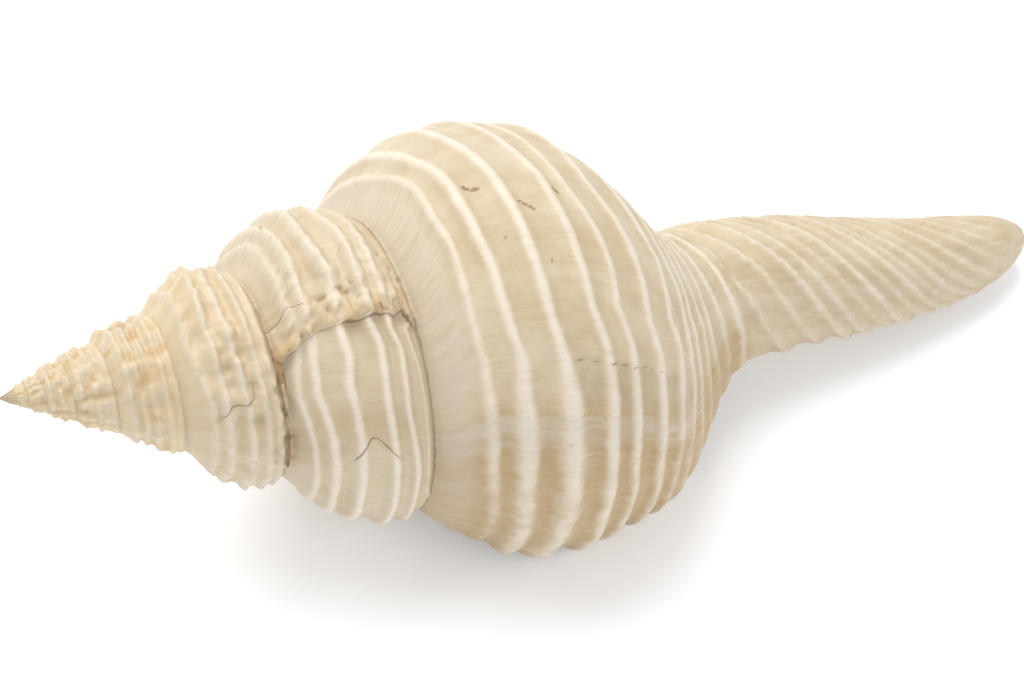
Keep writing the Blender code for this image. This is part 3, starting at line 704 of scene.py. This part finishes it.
# Each coat: the mask it follows, its strength, the pattern that breaks it up, by how much, the sum at
# which it starts and at which it is full, how much it covers then, and its colour.
COATS = (
    ("late", 0.0, "clouds", 1.0, -0.15, 0.18, 1.0, "#bfac8c"),
    ("late", 0.0, "bands", 1.0, -0.1, 0.16, 0.2, "#b8a47f"),
    ("late", 1.0, "patches", 0.5, 0.0, 1.0, 0.88, "#af9366"),
    ("late", 1.0, "blotch", 2.2, 0.9, 1.7, 0.45, "#bfac8a"),
    ("old", 1.0, "blotch", 0.6, 0.2, 1.2, 0.75, "#cfc1a9"),
    ("furrow", 1.0, "patches", 1.4, 0.55, 1.25, 0.42, "#b89d70"),
    ("shoulder", 1.0, "bands", 0.8, 0.1, 1.0, 0.62, "#cabeac"),
    # Shoulder coats: the pale band under the seam; their mask fades towards the lip as painted shade of the lower
    # shoulder.
    ("shoulder", 1.0, "streaks", 2.6, 0.85, 1.4, 0.5, "#b39d77"),
    ("shoulder", 1.0, "striae", 2.4, 0.95, 1.6, 0.3, "#dcd2c1"),
    ("smoke", 1.0, "blotch", 1.6, 0.4, 1.4, 0.42, "#98876a"),
    # Cord coat: the white of the cords; its mask fades on the lower side as painted shade.
    ("cord", 1.0, "blotch", 0.75, 0.12, 1.02, 0.88, "#e0d6c5"),
    ("veil", 1.0, "streaks", 1.9, 0.3, 1.6, 0.55, "#ccc5bd"),
    ("late", 0.0, "streaks", 1.0, -0.18, 0.28, 0.16, "#dcd2c2"),
    ("late", 0.0, "striae", 1.0, -0.05, 0.28, 0.2, "#a58b62"),
    ("old", 0.3, "speckle", 1.0, 0.42, 0.54, 0.4, "#a07d4b"),
    # Knob coats: tan and brown in the hollows between the knobs, partly painted shade.
    ("knob", 1.0, "clouds", 0.5, 0.0, 0.7, 0.55, "#d9c49b"),
    ("knob", 1.0, "blotch", 1.0, 0.40, 1.05, 0.50, "#ac8751"),
    ("rim", 1.0, "blotch", 1.6, 0.4, 1.2, 0.50, "#c2a06a"),
    ("rim", 1.0, "speckle", 2.4, 1.05, 1.45, 0.60, "#8f6b38"),
    ("seam", -1.0, "blotch", 1.6, -1.4, 0.1, 0.2, "#a08255"),
    ("seam", -1.0, "blotch", 0.8, -0.20, 0.05, 0.55, "#7b5d37"),
    ("line", -1.0, "speckle", 0.5, -0.32, -0.06, 0.74, "#7d5c38"),
    # Edge coat: dark brown under the torn rim, painted shade of the step with some brown stain.
    ("edge", -1.0, "patches", 0.8, -0.28, 0.02, 0.8, "#80592c"),
    ("pit", 1.0, "speckle", 0.6, 0.25, 0.9, 0.55, "#94733f"),
    ("inside", 1.0, "even", 0.0, 0.3, 0.7, 1.0, "#e3d8c6"))
paint = colour("#cbbca2")
spread = {}
for mask, strength, pattern, breakup, start, full, cover, tint in COATS:
    laid = add("ShaderNodeAttribute", {}, "Fac", attribute_name=mask)
    if mask in ("line", "edge"):
        laid = add("ShaderNodeMath", {0: laid}, operation="ABSOLUTE")
    laid = add("ShaderNodeMath", {0: laid, 1: strength}, operation="MULTIPLY")
    if pattern != "even":
        broken = add("ShaderNodeMath", {0: patterns[pattern], 1: 0.5}, operation="SUBTRACT")
        laid = add("ShaderNodeMath", {0: broken, 1: breakup, 2: laid}, operation="MULTIPLY_ADD")
    spread[mask] = add("ShaderNodeMapRange", {"Value": laid, "From Min": start, "From Max": full, "To Max": cover},
                       interpolation_type="SMOOTHSTEP")
    paint = add("ShaderNodeMix", {0: spread[mask], 6: paint, 7: colour(tint)}, 2, data_type="RGBA")
tree.links.new(paint, surface.inputs["Base Color"])
worn = add("ShaderNodeMapRange", {"Value": patterns["speckle"], "From Min": 0.2, "From Max": 0.8,
                                  "To Min": 0.46, "To Max": 0.64})
satin = add("ShaderNodeMix", {0: spread["inside"], 2: worn, 3: 0.36}, data_type="FLOAT")
tree.links.new(satin, surface.inputs["Roughness"])
surface.inputs["IOR"].default_value = 1.53
surface.inputs["Specular IOR Level"].default_value = 0.42
surface.inputs["Subsurface Weight"].default_value = 0.12
surface.inputs["Subsurface Radius"].default_value = (1.0, 0.7, 0.4)
surface.inputs["Subsurface Scale"].default_value = 0.0016

# Fine relief: striae and weathered grain stand up a little, seams and cracks sink, the mouth is smooth.
height = 0.0
for source, share in ((patterns["striae"], 0.7), (patterns["streaks"], 0.6), (patterns["speckle"], 0.5),
                      (patterns["bands"], 0.6), (spread["line"], -0.9), (spread["seam"], -0.7),
                      (spread["pit"], -0.6)):
    height = add("ShaderNodeMath", {0: source, 1: share, 2: height}, operation="MULTIPLY_ADD")
smooth = add("ShaderNodeMapRange", {"Value": spread["inside"], "To Min": 1.0, "To Max": 0.12})
height = add("ShaderNodeMath", {0: height, 1: smooth}, operation="MULTIPLY")
relief = add("ShaderNodeBump", {"Height": height, "Strength": 0.55, "Distance": 0.00024})
tree.links.new(relief, surface.inputs["Normal"])
mesh.materials.append(chalk)
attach(shell, "root")
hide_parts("shell")

# The stand
# A broad sheet of white paper that the shell lies on, lit so that it shows as plain white.
sheet_mesh = bpy.data.meshes.new("paper_sheet")
sheet_mesh.from_pydata([(-4, -4, 0), (4, -4, 0), (4, 4, 0), (-4, 4, 0)], [], [(0, 1, 2, 3)])
paper = bpy.data.objects.new("paper_sheet", sheet_mesh)
bpy.context.scene.collection.objects.link(paper)
white_paper = bpy.data.materials.new("matt_white_paper")
white_paper.use_nodes = True
page = white_paper.node_tree.nodes["Principled BSDF"]
page.inputs["Base Color"].default_value = colour("#f7f9fd")
page.inputs["Roughness"].default_value = 0.9
page.inputs["Specular IOR Level"].default_value = 0.1
page.inputs["Emission Color"].default_value = colour("#ffffff")
page.inputs["Emission Strength"].default_value = 0.15
sheet_mesh.materials.append(white_paper)

# The light
# Soft studio light: a wide panel above and behind to the left, a weak one in front, and a white room.
for name, spot, size, power in (("overhead_panel", (-0.30, 0.75, 1.5), 1.6, 27.5),
                                ("front_panel", (0.6, -1.2, 1.0), 1.4, 7.0)):
    lamp = bpy.data.lights.new(name, "AREA")
    lamp.shape = "DISK"
    lamp.size = size
    lamp.energy = power
    lamp.color = (1.0, 1.0, 0.995)
    panel = bpy.data.objects.new(name, lamp)
    panel.location = spot
    panel.rotation_euler = (-Vector(spot)).to_track_quat("-Z", "Y").to_euler()
    bpy.context.scene.collection.objects.link(panel)
room = bpy.data.worlds.new("white_room")
room.use_nodes = True
room.node_tree.nodes["Background"].inputs["Color"].default_value = (1.0, 1.0, 1.0, 1)
room.node_tree.nodes["Background"].inputs["Strength"].default_value = 0.60
bpy.context.scene.world = room
bpy.context.scene.view_settings.view_transform = "Standard"

# The view
# The camera stands where the photograph was taken from, worked out from the shell's own curves.
YAW = 0.4101935
PITCH = -0.0084458
TILT = -0.1402797
eye = Vector((-35.43312, -273.24598, 0.0)) * 0.001
ahead = Vector((sin(YAW) * cos(PITCH), cos(YAW) * cos(PITCH), sin(PITCH)))
right = Vector((cos(YAW), -sin(YAW), 0.0))
above = right.cross(ahead)
level = right * cos(TILT) + above * sin(TILT)
upright = above * cos(TILT) - right * sin(TILT)
axes = Matrix((turned @ level, turned @ upright, turned @ -ahead)).transposed()
lens = bpy.data.cameras.new("photo_view")
lens.sensor_width = 36.0
lens.lens = 1800 * 36 / 1024
camera = bpy.data.objects.new("photo_view", lens)
camera.matrix_world = Matrix.Translation(turned @ eye + Vector(offset)) @ axes.to_4x4()
lens.clip_start = 0.01
bpy.context.scene.collection.objects.link(camera)
bpy.context.scene.camera = camera
